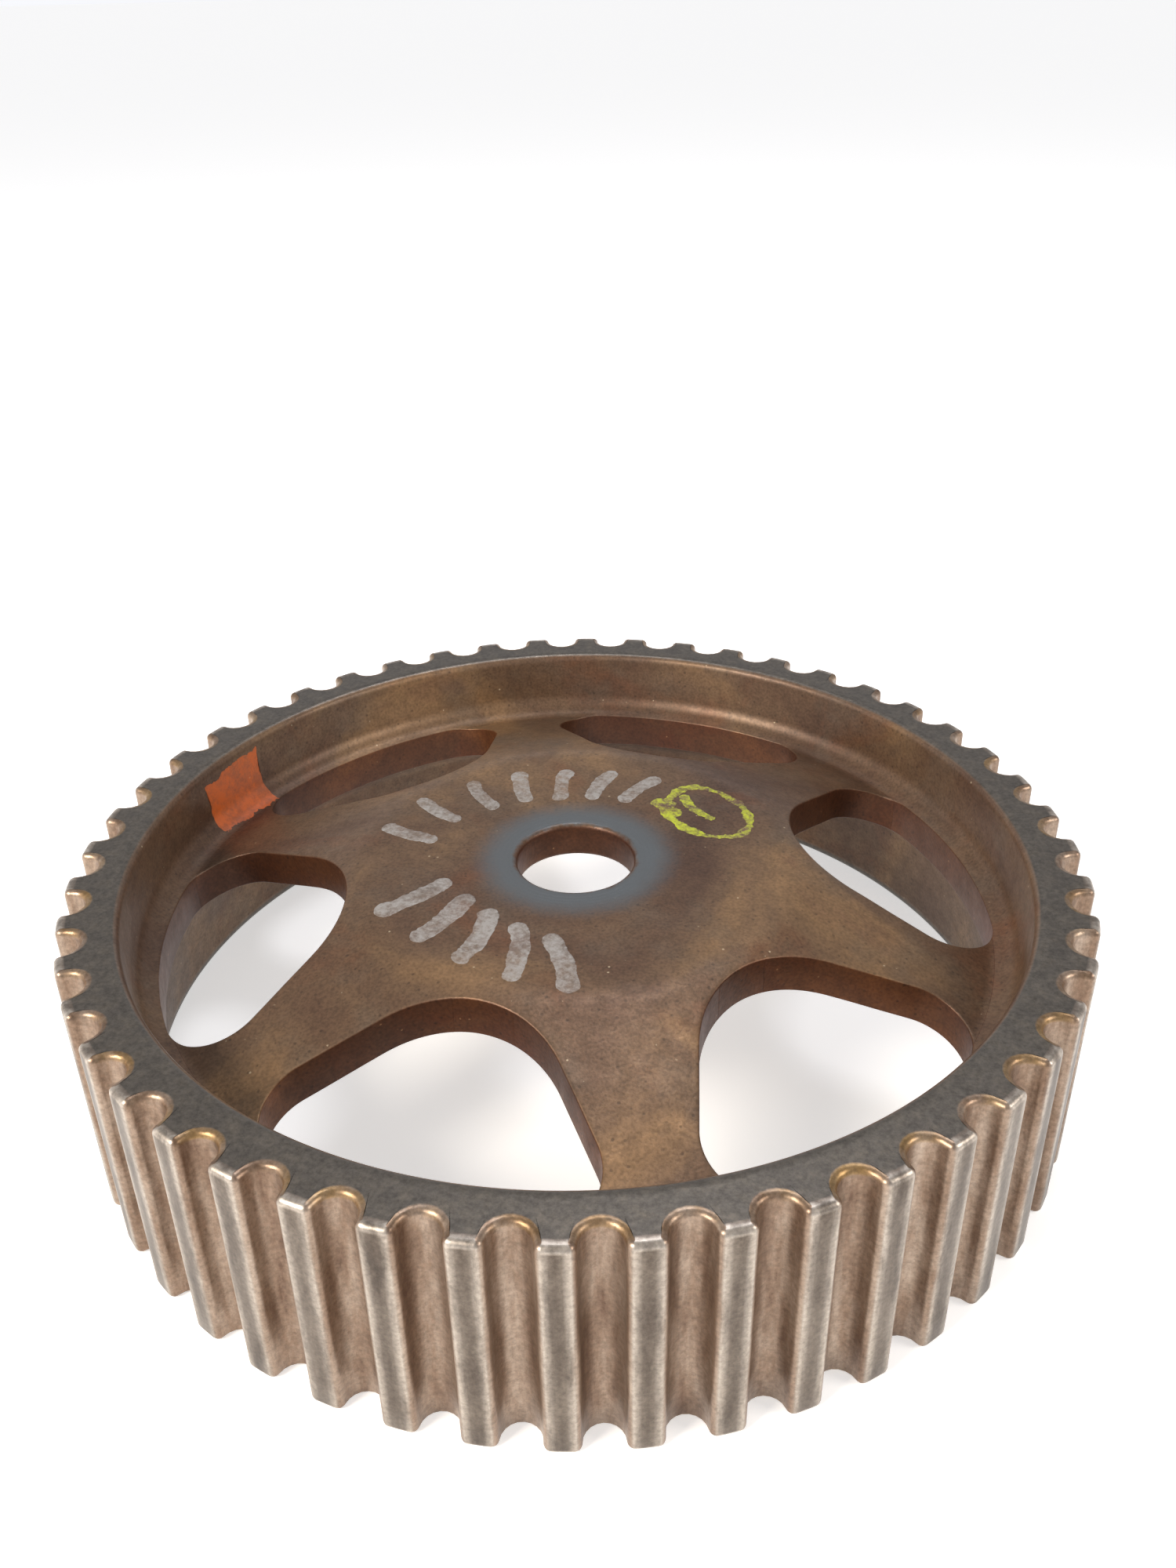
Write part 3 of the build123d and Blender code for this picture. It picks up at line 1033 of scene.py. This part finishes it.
# %% Finish of the rim
def rim_finish(name):
    """Six finishes laid over each other by the rim's marks.

    They are the groove's, the end face's, the lip's rust, the land's, its worn edge's and, over all
    of them on the inner wall, the stained steel.
    """
    material, tree = new_material(name)
    # Painted shade: the ledge's upright wall is darkened and reddened through this mark.
    ledge_wall_shade = add(tree, "ShaderNodeAttribute", out="Fac", attribute_name="window_wall_shade")
    place, wall_colour, wall_rough, depth, mottle = stained_steel(tree, ledge_wall_shade)
    marks = {
        key: add(tree, "ShaderNodeAttribute", out="Fac", attribute_name=key)
        for key in ("land", "worn_edge", "lip", "face", "inner")
    }
    drawn = add(tree, "ShaderNodeMapping", {"Vector": place, "Scale": (1.0, 1.0, 0.22)})
    streak = add(tree, "ShaderNodeTexNoise", {
        "Vector": drawn, "Scale": scale_for(3.0), "Detail": 6.0, "Roughness": 0.65,
    })
    groove = add(tree, "ShaderNodeValToRGB", {0: streak}, stops=[
        (0.3, "#6a5344"), (0.45, "#877160"), (0.58, "#9b8878"), (0.72, "#af9e8f"),
    ])
    grain = add(tree, "ShaderNodeTexNoise", {
        "Vector": place, "Scale": scale_for(0.6), "Detail": 3.0, "Roughness": 0.7,
    })
    grain_tone = add(tree, "ShaderNodeMapRange", {
        "Value": grain, "From Min": 0.3, "From Max": 0.65, "To Min": 0.7, "To Max": 1.12,
    })
    ground = add(tree, "ShaderNodeValToRGB", {0: mottle}, stops=[
        (0.3, "#5b5651"), (0.5, "#67615a"), (0.7, "#726a60"),
    ])
    pits = add(tree, "ShaderNodeTexNoise", {
        "Vector": drawn, "Scale": scale_for(2.6),
        "Detail": 8.0, "Roughness": 0.62, "Distortion": 0.3,
    })
    patches = add(tree, "ShaderNodeTexNoise", {
        "Vector": place, "Scale": scale_for(9), "Detail": 3.0,
    })
    pitting = add(tree, "ShaderNodeMath", {0: patches, 1: 0.55, 2: pits}, operation="MULTIPLY_ADD")
    bare = add(tree, "ShaderNodeValToRGB", {0: pitting}, stops=[
        (0.46, "#3a322c"), (0.6, "#544a42"), (0.76, "#62584f"), (0.95, "#6f655b"),
    ])
    rust_size = add(tree, "ShaderNodeTexNoise", {
        "Vector": place, "Scale": scale_for(7), "Detail": 3.0,
    })
    rust_share = add(tree, "ShaderNodeMapRange", {
        "Value": rust_size, "From Min": 0.42, "From Max": 0.66, "To Min": 0.05, "To Max": 0.75,
    })
    rust = add(tree, "ShaderNodeMath", {0: marks["lip"], 1: rust_share}, operation="MULTIPLY")
    edge_break = add(tree, "ShaderNodeMapRange", {
        "Value": pits, "From Min": 0.36, "From Max": 0.56, "To Min": 0.3,
    })
    bright = add(tree, "ShaderNodeMath", {
        0: marks["worn_edge"], 1: edge_break,
    }, operation="MULTIPLY")
    colour = add(tree, "ShaderNodeMix", {0: marks["face"], 6: groove, 7: ground}, 2, **BLEND)
    colour = add(tree, "ShaderNodeMix", {0: rust, 6: colour, 7: linear("#977847")}, 2, **BLEND)
    colour = add(tree, "ShaderNodeMix", {0: marks["land"], 6: colour, 7: bare}, 2, **BLEND)
    colour = add(tree, "ShaderNodeMix", {0: bright, 6: colour, 7: linear("#b3a99e")}, 2, **BLEND)
    colour = add(tree, "ShaderNodeMix", {0: 1.0, 6: colour, 7: grain_tone}, 2, **MULTIPLY)
    colour = add(tree, "ShaderNodeMix", {0: marks["inner"], 6: colour, 7: wall_colour}, 2, **BLEND)
    rough = add(tree, "ShaderNodeMapRange", {
        "Value": pits, "From Min": 0.3, "From Max": 0.7, "To Min": 0.43, "To Max": 0.34,
    })
    rough = add(tree, "ShaderNodeMix", {0: marks["inner"], 2: rough, 3: wall_rough})
    bump = add(tree, "ShaderNodeBump", {"Strength": 0.32, "Distance": 0.00005, "Height": pits})
    fine = add(tree, "ShaderNodeBump", {
        "Strength": 0.4, "Distance": 0.00003, "Height": depth, "Normal": bump,
    })
    metal = add(tree, "ShaderNodeMapRange", {
        "Value": marks["inner"], "To Min": 0.82, "To Max": 0.4,
    })
    shader = add(tree, "ShaderNodeBsdfPrincipled", {
        "Base Color": colour, "Metallic": metal, "Roughness": rough, "Normal": fine,
    })
    add(tree, "ShaderNodeOutputMaterial", {"Surface": shader})
    return material


toothed_rim.data.materials.append(rim_finish("belt_polished_sintered_steel"))
print("rim finish has", len(toothed_rim.data.materials[0].node_tree.nodes), "nodes")

# %% [markdown]
# ## Paints
# Marker paint is a thin coat with the brush's hair lines in it. Where it starves, the steel
# shows. The paint's colour is mixed with the steel's by noise, and it is not a metal, apart
# from the silver, which has aluminium flake in it.

# %% Paint finishes
def paint_finish(name, colour, metallic, cover):
    """Paint over stained steel: hair lines and pits of noise decide where the steel shows."""
    material, tree = new_material(name)
    place, steel, *_ = stained_steel(tree)
    hair = add(tree, "ShaderNodeTexNoise", {
        "Vector": place, "Scale": scale_for(0.9), "Detail": 5.0, "Roughness": 0.7,
    })
    starved = add(tree, "ShaderNodeTexNoise", {
        "Vector": place, "Scale": scale_for(5), "Detail": 5.0, "Roughness": 0.6,
    })
    both = add(tree, "ShaderNodeMath", {0: starved, 1: 0.8, 2: hair}, operation="MULTIPLY_ADD")
    shown = add(tree, "ShaderNodeMapRange", {
        "Value": both, "From Min": 0.74, "From Max": 1.04, "To Min": cover, "To Max": 0.95,
    })
    coat = add(tree, "ShaderNodeMix", {0: shown, 6: steel, 7: linear(colour)}, 2, **BLEND)
    bump = add(tree, "ShaderNodeBump", {"Strength": 0.6, "Distance": 0.00006, "Height": hair})
    shader = add(tree, "ShaderNodeBsdfPrincipled", {
        "Base Color": coat, "Metallic": metallic, "Roughness": 0.5, "Normal": bump,
    })
    add(tree, "ShaderNodeOutputMaterial", {"Surface": shader})
    return material


silver = paint_finish("aluminium_flake_marker_paint", "#9d9995", 0.35, 0.25)
green = paint_finish("yellow_green_marker_paint", "#a9b222", 0.0, 0.0)
orange = paint_finish("orange_marker_paint", "#c45d20", 0.0, 0.5)
for pieces, finish in ((silver_dabs, silver), (scribble, green), ([orange_patch], orange)):
    for piece in pieces:
        piece.data.materials.append(finish)
print(len(silver_dabs), "silver dabs,", len(scribble), "green strokes")
